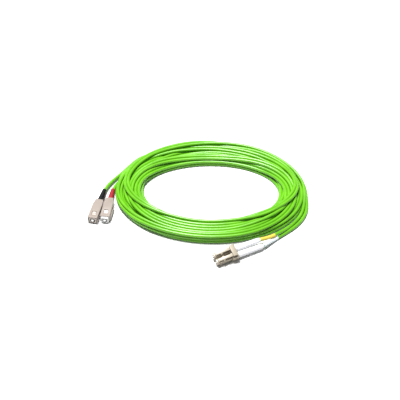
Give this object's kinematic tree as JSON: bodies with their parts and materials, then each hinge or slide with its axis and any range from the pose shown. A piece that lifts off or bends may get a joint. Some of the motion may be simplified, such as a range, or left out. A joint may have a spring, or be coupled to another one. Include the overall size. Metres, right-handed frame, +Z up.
{
  "type": "fiber optic patch cord",
  "caption": "Duplex fibre optic patch cord: oval coil of lime green two-leg zip cord with SC plugs on one end and clipped LC plugs on the other.",
  "frame": {"origin": "on the surface the cord lies on, under the middle of the box round the four plugs", "axes": "+Z up from the surface, +X from the SC plugs towards the LC plugs' boots along the coil's long way, +Y across the coil away from the LC plugs"},
  "size_m": [0.2008, 0.1557, 0.012],
  "materials": {
    "housing_beige": "fine moulded satin, slightly warm grey-beige",
    "frame_white": "smooth moulded white",
    "ferrule_ceramic": "polished zirconia",
    "steel": "turned steel",
    "brass": "nickel-free turned brass",
    "fibre_coating": "soft white coating",
    "boot_black": "soft matt elastomer",
    "boot_red": "soft matt elastomer",
    "boot_white": "soft satin elastomer",
    "jacket_lime": "smooth satin PVC jacket",
    "sleeve_yellow": "heat-shrunk marker sleeve",
    "sleeve_clear": "clear heat-shrunk sleeve"
  },
  "bodies": {
    "cord_and_plugs": {"sc_a_plug_frame": "frame_white", "sc_a_spring": "steel", "sc_a_stop_body": "steel", "sc_a_crimp_ring": "brass", "sc_a_boot": "boot_black", "sc_a_leg": "jacket_lime", "sc_b_plug_frame": "frame_white", "sc_b_spring": "steel", "sc_b_stop_body": "steel", "sc_b_crimp_ring": "brass", "sc_b_boot": "boot_red", "sc_b_leg": "jacket_lime", "lc_a_body": "housing_beige", "lc_a_spring": "steel", "lc_a_stop_body": "steel", "lc_a_crimp_ring": "brass", "lc_a_boot": "boot_white", "lc_a_leg": "jacket_lime", "lc_b_body": "housing_beige", "lc_b_spring": "steel", "lc_b_stop_body": "steel", "lc_b_crimp_ring": "brass", "lc_b_boot": "boot_white", "lc_b_leg": "jacket_lime", "duplex_clip": "housing_beige", "yellow_sleeve": "sleeve_yellow", "clear_sleeve": "sleeve_clear", "cord_coil": "jacket_lime"},
    "sc_a_grip": {"sc_a_housing": "housing_beige"},
    "sc_b_grip": {"sc_b_housing": "housing_beige"},
    "lc_a_latch_arm": {"lc_a_latch": "housing_beige"},
    "lc_b_latch_arm": {"lc_b_latch": "housing_beige"},
    "trigger_lever": {"clip_trigger": "housing_beige"},
    "sc_a_ferrule_unit": {"sc_a_ferrule": "ferrule_ceramic", "sc_a_ferrule_flange": "steel", "sc_a_fibre": "fibre_coating"},
    "sc_b_ferrule_unit": {"sc_b_ferrule": "ferrule_ceramic", "sc_b_ferrule_flange": "steel", "sc_b_fibre": "fibre_coating"},
    "lc_a_ferrule_unit": {"lc_a_ferrule": "ferrule_ceramic", "lc_a_ferrule_flange": "steel", "lc_a_fibre": "fibre_coating"},
    "lc_b_ferrule_unit": {"lc_b_ferrule": "ferrule_ceramic", "lc_b_ferrule_flange": "steel", "lc_b_fibre": "fibre_coating"}
  },
  "joints": [
    {"name": "sc_a_housing_slide", "type": "slide", "parent": "cord_and_plugs", "child": "sc_a_grip", "axis": [-0.1874, -0.9823, 0], "range_m": [-0.0018, 0]},
    {"name": "sc_b_housing_slide", "type": "slide", "parent": "cord_and_plugs", "child": "sc_b_grip", "axis": [-0.1132, -0.9936, 0], "range_m": [0, 0.0018]},
    {"name": "sc_a_ferrule_slide", "type": "slide", "parent": "cord_and_plugs", "child": "sc_a_ferrule_unit", "axis": [-0.1874, -0.9823, 0], "range_m": [-0.001, 0], "stiffness_N_per_m": 800, "springref_m": 0.005, "deforming": ["sc_a_spring"]},
    {"name": "sc_b_ferrule_slide", "type": "slide", "parent": "cord_and_plugs", "child": "sc_b_ferrule_unit", "axis": [-0.1132, -0.9936, 0], "range_m": [-0.001, 0], "stiffness_N_per_m": 800, "springref_m": 0.005, "deforming": ["sc_b_spring"]},
    {"name": "lc_a_ferrule_slide", "type": "slide", "parent": "cord_and_plugs", "child": "lc_a_ferrule_unit", "axis": [-0.9063, -0.4226, 0], "range_m": [-0.0008, 0], "stiffness_N_per_m": 600, "springref_m": 0.004, "deforming": ["lc_a_spring"]},
    {"name": "lc_b_ferrule_slide", "type": "slide", "parent": "cord_and_plugs", "child": "lc_b_ferrule_unit", "axis": [-0.9063, -0.4226, 0], "range_m": [-0.0008, 0], "stiffness_N_per_m": 600, "springref_m": 0.004, "deforming": ["lc_b_spring"]},
    {"name": "trigger_press", "type": "hinge", "parent": "cord_and_plugs", "child": "trigger_lever", "pos_m": [0.05359, -0.03298, 0.00822], "axis": [0.4082, -0.8754, -0.2588], "range_deg": [0, 13], "stiffness_Nm_per_rad": 0.003},
    {"name": "lc_a_latch_bend", "type": "hinge", "parent": "cord_and_plugs", "child": "lc_a_latch_arm", "pos_m": [0.03637, -0.03745, 0.00826], "axis": [0.4082, -0.8754, -0.2588], "range_deg": [-4.5, 0], "stiffness_Nm_per_rad": 0.002},
    {"name": "lc_b_latch_bend", "type": "hinge", "parent": "cord_and_plugs", "child": "lc_b_latch_arm", "pos_m": [0.03892, -0.04292, 0.00664], "axis": [0.4082, -0.8754, -0.2588], "range_deg": [-4.5, 0], "stiffness_Nm_per_rad": 0.002}
  ],
  "couplings": [
    {"joint": "lc_a_latch_bend", "follows": "trigger_press", "ratio": -0.3077},
    {"joint": "lc_b_latch_bend", "follows": "trigger_press", "ratio": -0.3077}
  ]
}
